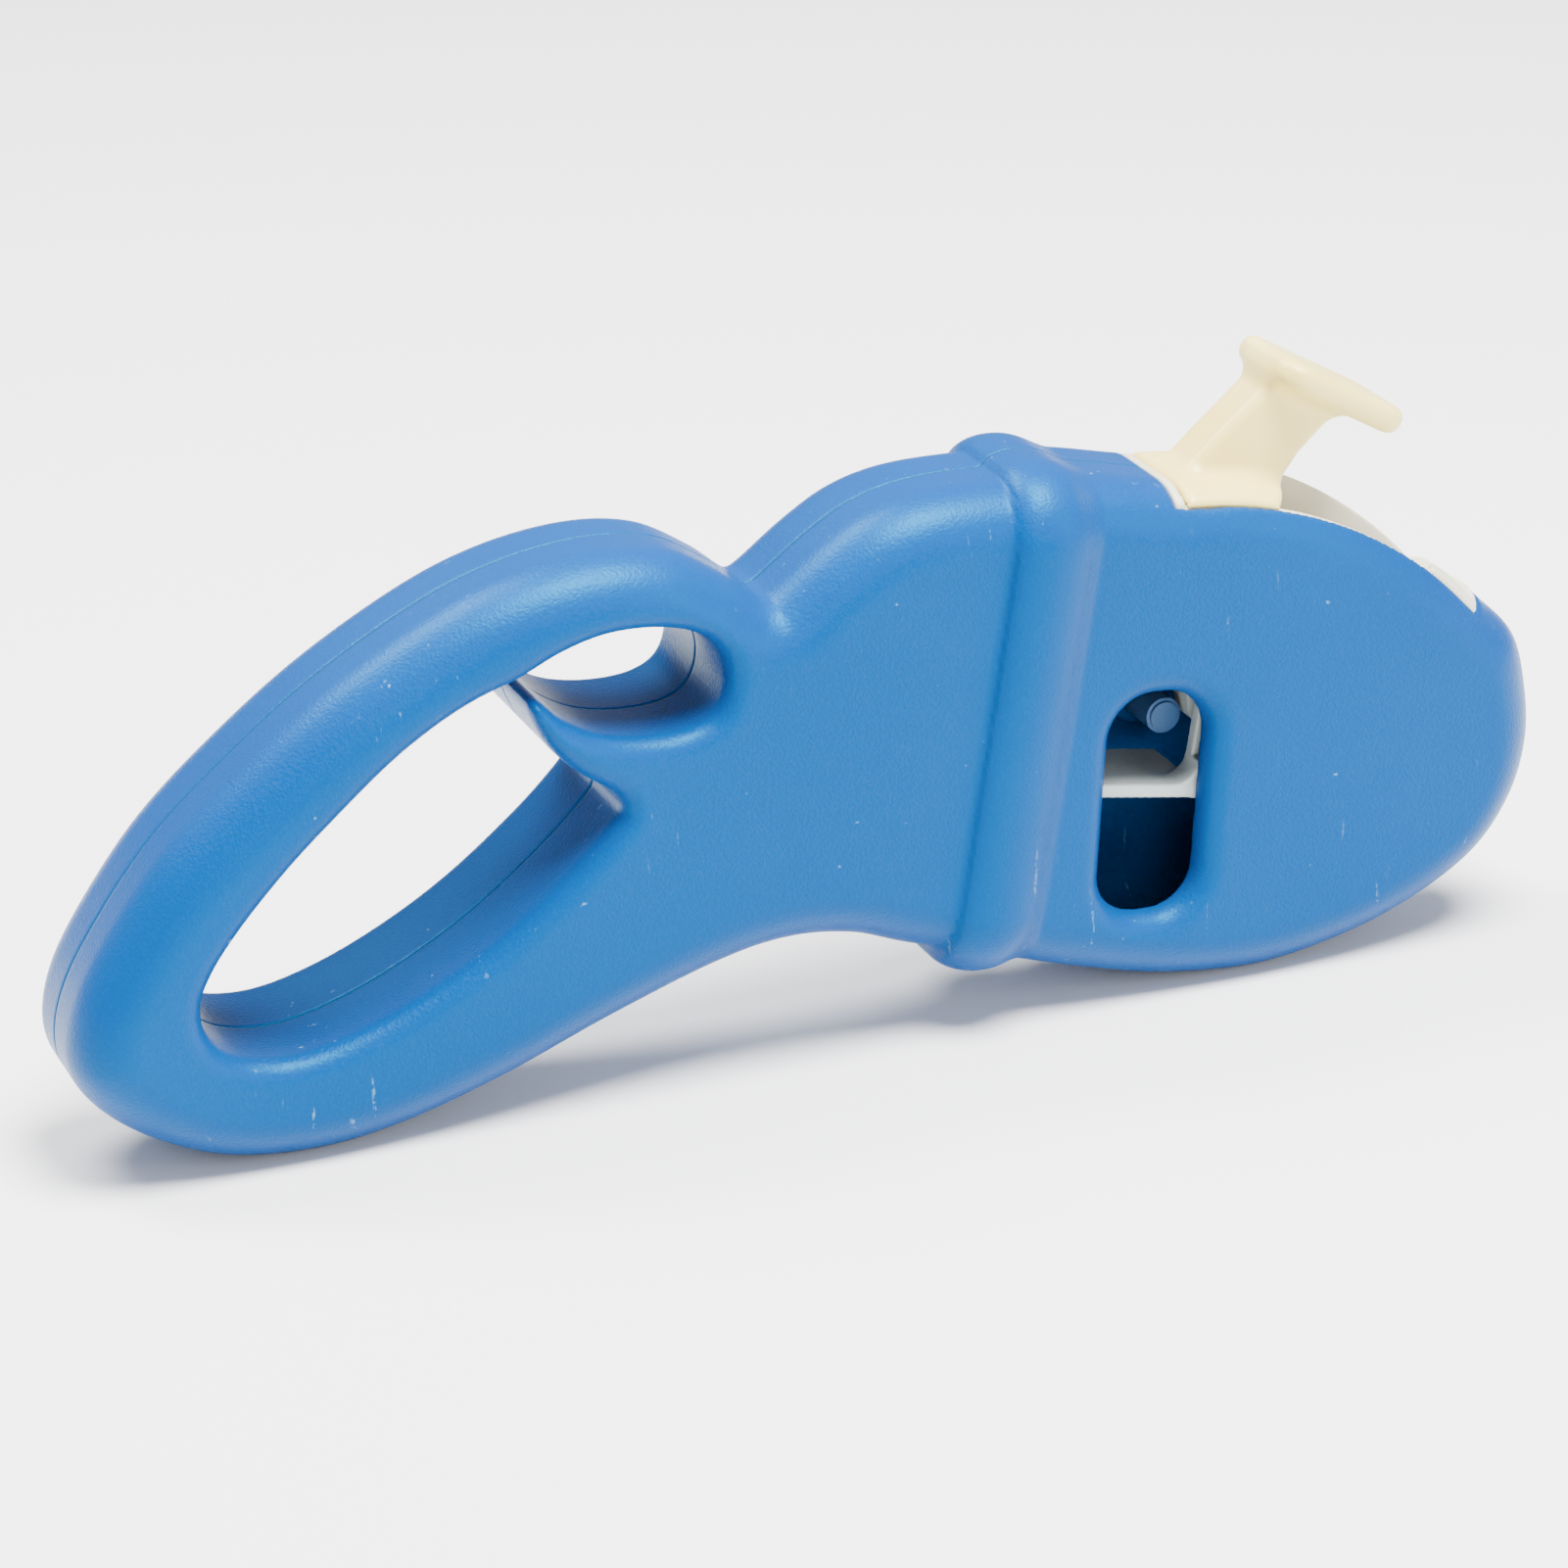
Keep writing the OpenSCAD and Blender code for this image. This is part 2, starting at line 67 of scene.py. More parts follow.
def onArc(angle, radius):
    a = math.radians(angle)
    return (body["track"][0] + radius * math.sin(a), body["track"][1] + radius * math.cos(a))


def closedCurve(keys, steps):
    k = np.array(keys, float)
    rows = []
    for i in range(len(k)):
        p0, p1, p2, p3 = k[i - 1], k[i], k[(i + 1) % len(k)], k[(i + 2) % len(k)]
        for s in range(steps):
            t = s / steps
            rows.append(0.5 * (2 * p1 + (p2 - p0) * t + (2 * p0 - 5 * p1 + 4 * p2 - p3) * t * t
                + (3 * p1 - p0 - 3 * p2 + p3) * t ** 3))
    return np.array(rows)


bodyLine = closedCurve(loopTop + [onArc(a, body["crown"]) for a in range(3, 52, 8)] + noseLow, 8)
gripLine = closedCurve(gripKeys, 8)


# distance fields, in millimetres: each is negative inside the material
def lineDistance(line, x, z):
    # signed distance of flat points to a closed line, negative inside it
    px, pz = x.ravel().astype(np.float32), z.ravel().astype(np.float32)
    best = np.full(px.shape, 1e9, np.float32)
    inside = np.zeros(px.shape, bool)
    a = line.astype(np.float32)
    b = np.roll(a, -1, axis=0)
    for (ax, az), (bx, bz) in zip(a, b):
        dx, dz = bx - ax, bz - az
        t = np.clip(((px - ax) * dx + (pz - az) * dz) / (dx * dx + dz * dz), 0, 1)
        best = np.minimum(best, (px - ax - t * dx) ** 2 + (pz - az - t * dz) ** 2)
        cross = (az > pz) != (bz > pz)
        if cross.any():
            inside ^= cross & (px < ax + (pz - az) * dx / (dz if dz else 1e-9))
    d = np.sqrt(best)
    return np.where(inside, -d, d).reshape(x.shape)


def both(a, b, r):
    # what a and b share, with their meeting edge rounded to r
    a, b = a + r, b + r
    return np.minimum(np.maximum(a, b), 0) + np.hypot(np.maximum(a, 0), np.maximum(b, 0)) - r


def either(a, b, r):
    # a and b joined, with a fillet of about r between them
    return -both(-a, -b, r)


def roundBox(u, v, hu, hv, r):
    qu, qv = np.abs(u) - hu + r, np.abs(v) - hv + r
    return np.minimum(np.maximum(qu, qv), 0) + np.hypot(np.maximum(qu, 0), np.maximum(qv, 0)) - r


def turned(x, z, cx, cz, lean):
    # coordinates in a frame at (cx, cz) that leans clockwise by so many degrees
    c, s = math.cos(math.radians(lean)), math.sin(math.radians(lean))
    return (x - cx) * c - (z - cz) * s, (x - cx) * s + (z - cz) * c


def polar(x, z):
    dx, dz = x - body["track"][0], z - body["track"][1]
    return np.hypot(dx, dz), np.degrees(np.arctan2(dx, dz))


class Grid:
    # points of a box, spaced evenly, as three arrays that broadcast
    def __init__(self, low, high, step):
        self.low, self.step = np.array(low, float), step
        n = [int(math.ceil((h - l) / step)) + 1 for l, h in zip(low, high)]
        axes = [low[i] + step * np.arange(n[i]) for i in range(3)]
        self.x = axes[0].astype(np.float32)[:, None, None]
        self.y = axes[1].astype(np.float32)[None, :, None]
        self.z = axes[2].astype(np.float32)[None, None, :]

    def flat(self, line):
        x, z = np.broadcast_arrays(self.x[:, 0], self.z[:, 0].reshape(1, -1))
        return lineDistance(line, np.ascontiguousarray(x), np.ascontiguousarray(z))[:, None, :]


def putIn(name, data):
    obj = bpy.data.objects.new(name, data)
    bpy.context.scene.collection.objects.link(obj)
    return obj


mesher = {"turns": 3, "reach": 0.35, "seamSink": 0.09, "seamGap": 0.02}


def skin(name, field, grid, parting=None):
    # mesh of the zero level of a field: one point in each cell that it crosses, one quad for each edge
    # with parting 0 or -1, that end of the grid is the joint plane, and the mesh is closed flat there
    f = np.ascontiguousarray(field, np.float32)
    inside = f < 0
    cells = tuple(n - 1 for n in f.shape)
    count = np.zeros(cells, np.int16)
    total = np.zeros(cells + (3,), np.float32)
    crossing = []
    for axis in range(3):
        lo, hi = [slice(None)] * 3, [slice(None)] * 3
        lo[axis], hi[axis] = slice(0, -1), slice(1, None)
        lo, hi = tuple(lo), tuple(hi)
        cut = inside[lo] != inside[hi]
        crossing.append(cut.copy())
        if axis == 1 and parting is not None:
            cut[:, parting] = False
            crossing[1][:, parting] = inside[:, 1 if parting == 0 else -2]
        at = np.argwhere(cut)
        fa, fb = f[lo][cut], f[hi][cut]
        p = at.astype(np.float32)
        p[:, axis] += fa / (fa - fb)
        others = [k for k in range(3) if k != axis]
        for da in (0, 1):
            for db in (0, 1):
                c = at.copy()
                c[:, others[0]] -= da
                c[:, others[1]] -= db
                ok = np.all((c >= 0) & (c < np.array(cells)), axis=1)
                ci = tuple(c[ok].T)
                np.add.at(count, ci, 1)
                np.add.at(total, ci, p[ok])
    edgeCells = count > 0
    used = edgeCells.copy()
    if parting is not None:
        capped = crossing[1][:, parting]
        for da in (0, 1):
            for db in (0, 1):
                used[:, parting] |= capped[da:capped.shape[0] - 1 + da, db:capped.shape[1] - 1 + db]
    number = np.full(cells, -1, np.int64)
    number[used] = np.arange(int(used.sum()))
    where = np.argwhere(used)
    points = where + np.float32(0.5)
    wall = edgeCells[used]
    points[wall] = (total[edgeCells] / count[edgeCells][:, None])
    onJoint = np.zeros(len(points), bool)
    if parting is not None:
        onJoint = where[:, 1] == (0 if parting == 0 else cells[1] - 1)
    # settle the points on the surface with the field's own slope
    for turn in range(mesher["turns"]):
        base = np.clip(np.floor(points).astype(int), 0, np.array(f.shape) - 2)
        u = points - base
        value = np.zeros(len(points), np.float32)
        slope = np.zeros((len(points), 3), np.float32)
        for corner in range(8):
            o = [(corner >> k) & 1 for k in range(3)]
            w = [u[:, k] if o[k] else 1 - u[:, k] for k in range(3)]
            g = f[base[:, 0] + o[0], base[:, 1] + o[1], base[:, 2] + o[2]]
            value += g * w[0] * w[1] * w[2]
            slope[:, 0] += g * (1 if o[0] else -1) * w[1] * w[2]
            slope[:, 1] += g * (1 if o[1] else -1) * w[0] * w[2]
            slope[:, 2] += g * (1 if o[2] else -1) * w[0] * w[1]
        if turn == mesher["turns"] - 1:  # the last turn sinks the edge of the joint a little
            value = np.where(onJoint, mesher["seamSink"], 0).astype(np.float32)
        size = np.maximum((slope ** 2).sum(1), (0.3 * grid.step) ** 2)
        move = -(value / size)[:, None] * slope
        move[onJoint, 1] = 0
        move[~wall] = 0
        points = points + np.clip(move, -mesher["reach"], mesher["reach"])
    quads = []
    for axis in range(3):
        at = np.argwhere(crossing[axis])
        o1, o2 = [k for k in range(3) if k != axis]
        if axis == 1:
            o1, o2 = o2, o1
        ok = (at[:, o1] > 0) & (at[:, o1] < f.shape[o1] - 1)
        ok &= (at[:, o2] > 0) & (at[:, o2] < f.shape[o2] - 1)
        at = at[ok]
        ring = []
        for d1, d2 in ((0, 0), (1, 0), (1, 1), (0, 1)):
            c = at.copy()
            c[:, o1] -= d1
            c[:, o2] -= d2
            ring.append(number[tuple(c.T)])
        q = np.stack(ring, 1)
        flip = ~inside[tuple(at.T)]
        if axis == 1 and parting == 0:
            flip |= at[:, 1] == 0
        q[flip] = q[flip][:, ::-1]
        quads.append(q)
    quads = np.concatenate(quads)
    points[onJoint, 1] = (0.5 if parting == 0 else cells[1] - 0.5)
    place = grid.low + points * grid.step
    if parting is not None:
        place[onJoint, 1] = mesher["seamGap"] if parting == 0 else -mesher["seamGap"]
    mesh = bpy.data.meshes.new(name)
    mesh.vertices.add(len(place))
    mesh.vertices.foreach_set("co", (place * mm).astype(np.float32).ravel())
    mesh.loops.add(len(quads) * 4)
    mesh.loops.foreach_set("vertex_index", quads.astype(np.int32).ravel())
    mesh.polygons.add(len(quads))
    mesh.polygons.foreach_set("loop_start", np.arange(0, len(quads) * 4, 4, dtype=np.int32))
    mesh.update(calc_edges=True)
    mesh.validate()
    mesh.polygons.foreach_set("use_smooth", np.ones(len(mesh.polygons), bool))
    print(name, len(place), "points")
    return putIn(name, mesh)


# the two shells
collar = {"foot": (19.6, 9.8), "span": 65.5, "lean": 9.8, "steep": 5.4, "ease": 6.6, "rise": 2.6,
    "falloff": 6, "fillet": 1.2}
window = {"at": (44.7, 28.2), "size": (14.4, 31.4), "corner": 6.3, "lean": 4.5, "round": 3.6,
    "lip": 1.6, "lipFrom": 8.8}
slotCut = {"from": 2.1, "to": 50.3, "half": 10.35, "deep": 12.0}
screws = {"spots": [(15, 27), (38, 62), (82, 14), (-94.5, 18.5), (-55, 12.5), (-4, 48)],
    "pillar": 3.8, "recess": 3.15, "recessDeep": 3.4, "bore": 1.7}
postBoss = {"at": (51.2, 36.0), "radius": 4.0, "from": 7.6}
shellBox = {"low": (-104.6, -1.2), "high": (104.8, 78.6), "depth": 16.6}


def sideOf(sign):
    # one shell: sign is -1 for the front and 1 for the back
    h = body["halfThick"]
    half = body["step"] / 2
    depth = math.ceil(shellBox["depth"] / body["step"]) * body["step"]
    (x0, z0), (x1, z1) = shellBox["low"], shellBox["high"]
    # the grid reaches half a step past the joint plane
    y0, y1 = (-half, depth - half) if sign > 0 else (half - depth, half)
    g = Grid((x0, y0, z0), (x1, y1 - 0.01, z1), body["step"])
    away = np.abs(g.y)
    outer = both(g.flat(bodyLine), away - h, body["edge"])
    grip = g.flat(gripLine)
    core = both(outer, both(-grip, away - h, body["rim"][0 if sign < 0 else 1]), 0.3)
    # collar: a bead on a rounded frame that leans
    s, p = turned(g.x, g.z, collar["foot"][0], collar["foot"][1], collar["lean"])
    frameLine = roundBox(p - collar["span"] / 2, away, collar["span"] / 2, h, body["edge"])
    # steep on the handle side, easing out on the nose side
    t = np.where(s > 0, s / collar["ease"], -s / collar["steep"])
    swell = np.where(s > 0, 1 - t ** 2, np.sqrt(np.maximum(1 - t ** 2, 0)))
    bulge = collar["rise"] * np.where(t < 1, swell, collar["falloff"] * (1 - t))
    bead = np.maximum(frameLine - bulge, np.abs(s) - collar["ease"] - 1)
    full = either(core, bead, collar["fillet"])
    # even wall
    shell = both(full, -(core + body["wall"]), 0.3)
    for cx, cz in screws["spots"]:
        pillar = both(np.hypot(g.x - cx, g.z - cz) - screws["pillar"], away - h + 1, 0.2)
        shell = np.minimum(shell, pillar)
    radius, angle = polar(g.x, g.z)
    along = np.maximum(slotCut["from"] - angle, angle - slotCut["to"]) * radius * math.pi / 180
    cut = np.maximum(np.maximum(along, body["crown"] - slotCut["deep"] - radius), away - slotCut["half"])
    shell = both(shell, -cut, 0.6)
    if sign < 0:
        wu, wv = turned(g.x, g.z, window["at"][0], window["at"][1], window["lean"])
        hole = roundBox(wu, wv, window["size"][0] / 2, window["size"][1] / 2, window["corner"])
        lip = both(hole - window["lip"], np.maximum(away - h + 0.5, window["lipFrom"] - away), 0.3)
        shell = np.minimum(shell, lip)
        shell = np.maximum(shell, both(-hole, full, window["round"]))
    else:
        for cx, cz in screws["spots"]:
            d = np.hypot(g.x - cx, g.z - cz)
            shell = both(shell, -np.maximum(d - screws["recess"], h - screws["recessDeep"] - away), 0.25)
            shell = np.maximum(shell, screws["bore"] - d)
        bx, bz = postBoss["at"]
        boss = both(np.hypot(g.x - bx, g.z - bz) - postBoss["radius"],
            np.maximum(postBoss["from"] - away, away - h + 1), 0.3)
        shell = np.minimum(shell, boss)
    return skin("shell_front" if sign < 0 else "shell_back", shell, g, -1 if sign < 0 else 0)


shellFront = sideOf(-1)
shellBack = sideOf(1)

# thumb lever: pad, stem, saddle and the shoe under it
lever = {
    "pad": (74.5, 79.1), "padTilt": 30.0, "padSize": (10.4, 8.6, 1.9), "padCorner": 4.0, "padSoft": 1.7,
    "dish": 0.25, "dishSpread": 60, "stemSoft": 1.6, "neck": 1.6, "flare": 2.6,
    "stem": [(51.0, 69.6), (57.0, 74.9), (65.6, 82.0), (75.6, 76.3), (69.9, 71.3), (65.6, 65.9)],
    "stemHalf": 4.0, "saddle": (3.9, 19.4), "saddleHalf": 8.83, "saddleDeep": 3.4,
    "flange": 10.15, "flangeDeep": 1.15, "bow": 2.2,
    "shoe": {"inset": (0.8, 1.2), "half": 7.0, "radii": (56.35, 61.0)},
    "web": {"inset": (1.5, 1.5), "half": 2.6, "radii": (54.15, 60.0)},
    "step": 0.3 if fine else 0.5,
}


def crownAt(away):
    inner = body["halfThick"] - body["edge"]
    drop = body["edge"] - np.sqrt(np.maximum(body["edge"] ** 2 - np.maximum(away - inner, 0) ** 2, 0))
    return body["crown"] - drop


def makeLever():
    g = Grid((44, -10.5, 50), (90, 10.5, 90), lever["step"])
    away = np.abs(g.y)
    radius, angle = polar(g.x, g.z)
    # pad with a rounded plan and soft edges, slightly dished
    u, v = turned(g.x, g.z, lever["pad"][0], lever["pad"][1], lever["padTilt"])
    padU, padY, padV = lever["padSize"]
    plan = roundBox(u, g.y, padU, padY, lever["padCorner"])
    dish = lever["dish"] * np.clip(1 - (u ** 2 + g.y ** 2) / lever["dishSpread"], 0, 1)
    pad = both(plan, np.maximum(v - padV + dish, -v - padV), lever["padSoft"])
    stem = both(g.flat(closedCurve(lever["stem"], 1)), away - lever["stemHalf"], lever["stemSoft"])
    a0, a1 = lever["saddle"]
    bow = lever["bow"] * (away / lever["saddleHalf"]) ** 2
    arc = radius * math.pi / 180
    ends = np.maximum((a0 - angle) * arc, (angle - a1) * arc + bow)
    top = both(radius - crownAt(away) + 0.05, ends, 1.2)
    saddle = both(both(top, away - lever["saddleHalf"], 0.15),
        body["crown"] - lever["saddleDeep"] - radius, 0.3)
    # a thin flange covers the liner's rim on the window side
    flange = both(both(top, away - lever["flange"], 0.3),
        crownAt(away) - lever["flangeDeep"] - radius, 0.2)
    saddle = np.minimum(saddle, np.maximum(flange, g.y))
    whole = either(either(stem, saddle, lever["neck"]), pad, lever["flare"])
    # the shoe and the web under it reach down through the liner
    for under in (lever["shoe"], lever["web"]):
        near, far = under["inset"]
        ring = np.maximum(under["radii"][0] - radius, radius - under["radii"][1])
        span = np.maximum((a0 + near - angle) * arc, (angle - a1 + far) * arc)
        whole = np.minimum(whole, np.maximum(np.maximum(span, ring), away - under["half"]))
    return skin("lever_thumb", whole, g)


leverPiece = makeLever()

# liner of the slot: a curved trough with a slotted floor and closed ends
trough = {"from": 2.2, "to": 50.2, "half": 10.3, "wall": 1.4, "floor": (54.5, 56.0), "gap": 3.0,
    "lowRim": (3.6, 41.0), "lowRimDrop": 1.35, "rimDrop": 0.04, "endWall": 1.3,
    "step": 0.33 if fine else 0.55}


def makeTrough():
    g = Grid((46, -11.2, 44), (98, 11.2, 74), trough["step"])
    away = np.abs(g.y)
    radius, angle = polar(g.x, g.z)
    arc = radius * math.pi / 180
    span = np.maximum((trough["from"] - angle) * arc, (angle - trough["to"]) * arc)
    block = np.maximum(np.maximum(span, away - trough["half"]), trough["floor"][0] - radius)
    # on the window side the rim is low between these angles, for the lever's flange. Known fault: at full
    # travel the flange reaches about 47 degrees, so past the low part it clips the rim
    low = (g.y < 0) & (angle > trough["lowRim"][0]) & (angle < trough["lowRim"][1])
    block = both(block, radius - crownAt(away) + np.where(low, trough["lowRimDrop"], trough["rimDrop"]), 0.3)
    inner = np.maximum(span + trough["endWall"], away - trough["half"] + trough["wall"])
    hollow = both(inner, trough["floor"][1] - radius, 0.8)
    solid = both(block, -hollow, 0.35)
    through = np.maximum(span + trough["endWall"], away - trough["gap"])
    return skin("trough_liner", both(solid, -through, 0.2), g)


troughPiece = makeTrough()

# latch bar: a shelf behind the window, with an arm that turns up to the drive pin
latch = {"at": (48.0, 28.35), "slope": 10.0, "front": 8.2, "depth": 16.0, "back": 3.8,
    "thick": 1.8, "slotU": 7.87, "slotW": 4.29, "pin": 14.7, "drop": 7.0, "travel": 15.75, "fillet": 3.4,
    "shelfFrom": -14.5, "walls": (1.5, 1.8), "tailExtra": 3, "tailWide": 5, "armTop": 4.3, "armThick": 2,
    "seat": {"thick": 0.8, "below": 5.4, "above": 0.4, "behind": 1.4, "before": 3.6},
    "peg": {"below": 2.5, "front": 1, "radius": 1.5, "root": 0.3, "long": 2},
    "step": 0.24 if fine else 0.4}


def makeLatch():
    g = Grid((31, -9.2, 20), (84, 6, 50), latch["step"])
    u, v = turned(g.x, g.z, latch["at"][0], latch["at"][1], latch["slope"])
    t = -g.y
    # the arm runs from u0 to u1, with a wall on each side of the pin's slot
    u0 = latch["slotU"] - latch["slotW"] / 2 - latch["walls"][0]
    u1 = latch["slotU"] + latch["slotW"] / 2 + latch["walls"][1]
    half = latch["thick"] / 2

    def slab(a, b, c, d, e, f, r=0.3):
        # a rounded plate from a to b along the bar, c to d across it and e to f in depth
        flat = roundBox(u - (a + b) / 2, v - (c + d) / 2, (b - a) / 2, (d - c) / 2, r)
        return both(flat, np.maximum(e - t, t - f), r)

    shelf = slab(latch["shelfFrom"], u0 + 1, -half, half, latch["front"] - latch["depth"], latch["front"])
    bar = slab(u0 - 0.5, u1 + 1, -half, half, latch["back"], latch["front"])
    tail = slab(u1, u1 + latch["travel"] + latch["tailExtra"], -half, latch["tailWide"],
        latch["back"], latch["front"])
    arm = slab(u0, u1, -half, latch["pin"] + latch["armTop"], latch["back"], latch["back"] + latch["armThick"])
    ledge = latch["seat"]
    seat = slab(u1 - ledge["thick"], u1, latch["pin"] - ledge["below"], latch["pin"] + ledge["above"],
        latch["back"] - ledge["behind"], latch["back"] + ledge["before"])
    mid = latch["pin"] - latch["drop"] / 2
    slotR = latch["slotW"] / 2
    slot = roundBox(u - latch["slotU"], v - mid, slotR, latch["drop"] / 2 + slotR, slotR - 0.01)
    arm = both(arm, -slot, 0.2)
    # fillet where the shelf turns up into the arm
    r = latch["fillet"]
    corner = np.maximum(np.maximum(u - u0 - 1.2, -(u - u0 + r)), np.maximum(v - half - r, half - 0.3 - v))
    corner = np.maximum(corner, r - np.hypot(u - u0 + r, v - half - r))
    corner = both(corner, np.maximum(latch["back"] - t, t - latch["front"]), 0.3)
    whole = either(either(shelf, bar, 0.3), arm, 0.4)
    for part in (tail, seat, corner):
        whole = either(whole, part, 0.2)
    # the spring's inner end sits round this short peg
    peg = latch["peg"]
    spigot = np.maximum(
        np.hypot(v - latch["pin"] + peg["below"], t - latch["back"] - peg["front"]) - peg["radius"],
        np.maximum(u1 - peg["root"] - u, u - u1 - peg["long"]))
    return skin("bar_latch", np.minimum(whole, spigot), g)


latchPiece = makeLatch()

# return spring: wound wire along the bar, with its end turns lying flat
spring = {"from": 11.87, "to": 32.77, "v": 12.2, "t": 4.8, "radius": 2.05, "wire": 0.8, "turns": 6,
    "flatTurn": 0.6, "endGap": 0.15, "around": 30, "sides": 10}


def onBar(u, v, t):
    # millimetres along, across and in front of the bar, as a place in the scene
    c, s = math.cos(math.radians(latch["slope"])), math.sin(math.radians(latch["slope"]))
    return (latch["at"][0] + u * c + v * s, -t, latch["at"][1] - u * s + v * c)


def makeSpring():
    half = spring["wire"] / 2
    length = spring["to"] - spring["from"] - spring["wire"]
    points, faces = [], []
    steps, sides = spring["turns"] * spring["around"], spring["sides"]
    for i in range(steps + 1):
        a = 2 * math.pi * i / spring["around"]
        turn = i / spring["around"]
        # the coil climbs only between its flat end turns
        along = (turn - spring["flatTurn"]) / (spring["turns"] - 2 * spring["flatTurn"])
        along = min(max(along, 0), 1)
        u = spring["from"] + half + spring["endGap"] + along * (length - 2 * spring["endGap"])
        for j in range(sides):
            b = 2 * math.pi * j / sides
            r = spring["radius"] + half * math.cos(b)
            p = onBar(u + half * math.sin(b), spring["v"] + r * math.cos(a), spring["t"] + r * math.sin(a))
            points.append(Vector(p) * mm)
    for i in range(steps):
        for j in range(sides):
            k = (j + 1) % sides
            faces.append((i * sides + j, i * sides + k, (i + 1) * sides + k, (i + 1) * sides + j))
    faces.append(tuple(reversed(range(sides))))
    faces.append(tuple(steps * sides + j for j in range(sides)))
    mesh = bpy.data.meshes.new("spring_return")
    mesh.from_pydata(points, [], faces)
    mesh.polygons.foreach_set("use_smooth", np.ones(len(faces), bool))
    mesh.update()
    print("spring_return", len(points), "points")
    return putIn("spring_return", mesh)


springPiece = makeSpring()


class Wire:
    # a socket that can be used in sums
    def __init__(self, graph, socket):
        self.graph, self.socket = graph, socket

    def math(self, kind, other, swap=False):
        a, b = (other, self) if swap else (self, other)
        return self.graph.make("ShaderNodeMath", {"operation": kind}, {0: a, 1: b})

    def __add__(self, o): return self.math("ADD", o)
    def __radd__(self, o): return self.math("ADD", o)
    def __sub__(self, o): return self.math("SUBTRACT", o)
    def __rsub__(self, o): return self.math("SUBTRACT", o, True)
    def __mul__(self, o): return self.math("MULTIPLY", o)
    def __rmul__(self, o): return self.math("MULTIPLY", o)


class Graph:
    # a material's nodes, round its principled shader
    def __init__(self, name):
        self.material = bpy.data.materials.new(name)
        self.material.use_nodes = True
        self.nodes = self.material.node_tree.nodes
        self.links = self.material.node_tree.links
        self.shader = self.nodes["Principled BSDF"]

    def make(self, kind, settings, values, out=0):
        n = self.nodes.new(kind)
        for key, value in settings.items():
            if key == "stops":
                ramp = n.color_ramp
                while len(ramp.elements) < len(value):
                    ramp.elements.new(0.5)
                for e, (at, grey) in zip(ramp.elements, value):
                    e.position, e.color = at, (grey, grey, grey, 1)
            else:
                setattr(n, key, value)
        for key, value in values.items():
            if isinstance(value, Wire):
                self.links.new(value.socket, n.inputs[key])
            else:
                n.inputs[key].default_value = value
        return Wire(self, n.outputs[out])

    def place(self):
        return self.make("ShaderNodeTexCoord", {}, {}, "Object")

    def noise(self, at, scale, detail=2.0, rough=0.5, stretch=None, turn=(0, 0, 0)):
        if stretch:
            at = self.make("ShaderNodeMapping", {}, {"Vector": at, "Scale": stretch, "Rotation": turn})
        values = {"Vector": at, "Scale": scale, "Detail": detail, "Roughness": rough}
        return self.make("ShaderNodeTexNoise", {}, values)

    def ramp(self, value, stops):
        return self.make("ShaderNodeValToRGB", {"stops": stops}, {0: value})

    def blend(self, factor, a, b):
        return self.make("ShaderNodeMix", {"data_type": "RGBA"}, {0: factor, 6: a, 7: b}, 2)

    def bump(self, height, distance, strength):
        values = {"Height": height, "Distance": distance, "Strength": strength}
        return self.make("ShaderNodeBump", {}, values)

    def set(self, name, value):
        if isinstance(value, Wire):
            self.links.new(value.socket, self.shader.inputs[name])
        else:
            self.shader.inputs[name].default_value = value


# the colour for the joint line of the shells is painted shade of the crack between them
shellLook = {
    "blue": (0.0, 0.0455, 0.192, 1), "deep": (0.0, 0.042, 0.180, 1), "pale": (0.0, 0.072, 0.235, 1),
    "scuff": (0.16, 0.33, 0.54, 1), "seamShade": (0.004, 0.06, 0.16, 1), "sheen": (0.0, 0.62, 0.95, 1),
    "gloss": 0.3, "rough": 0.38, "grain": 2300, "grainDepth": 0.00009, "speck": 0.16,
    "scratches": 0.5, "dust": 0.45, "seam": 0.75,
}


def shellMaterial():
    g = Graph("blueShell")
    at = g.place()
    broad = g.noise(at, 28, 3)
    tone = g.blend(g.ramp(broad, [(0.35, 0), (0.65, 1)]), shellLook["deep"], shellLook["blue"])
    grain = g.noise(at, shellLook["grain"], 1.5, 0.6)
    speck = g.ramp(grain, [(0.46, 0), (0.72, 1)])
    tone = g.blend(speck * shellLook["speck"], tone, shellLook["pale"])
    # short pale scratches, in a few patches
    line = g.noise(at, 620, 3, 0.7, (1.0, 1.0, 0.1), (0.2, 0.35, 0.4))
    broken = g.ramp(g.noise(at, 1300, 1), [(0.42, 0), (0.56, 1)])
    patch = g.ramp(g.noise(at, 34, 2), [(0.52, 0), (0.62, 1)])
    marks = g.ramp(line, [(0.66, 0), (0.72, 1)])
    dust = g.ramp(g.noise(at, 720, 1), [(0.80, 0), (0.84, 1)])
    wear = marks * patch * broken * shellLook["scratches"] + dust * shellLook["dust"]
    tone = g.blend(wear, tone, shellLook["scuff"])
    # the joint line of the shells is darkened: painted shade of the crack between them
    y = g.make("ShaderNodeSeparateXYZ", {}, {0: at}, 1)
    near = g.make("ShaderNodeMath", {"operation": "ABSOLUTE"}, {0: y})
    seam = g.ramp(near * 1000, [(0.16, 1), (0.34, 0)])
    tone = g.blend(seam * shellLook["seam"], tone, shellLook["seamShade"])
    g.set("Base Color", tone)
    g.set("Roughness", shellLook["rough"] + (grain - 0.5) * 0.22 + wear * 0.2)
    g.set("Specular IOR Level", shellLook["gloss"])
    g.set("Specular Tint", shellLook["sheen"])
    g.set("Normal", g.bump(grain, shellLook["grainDepth"], 0.8))
    return g.material


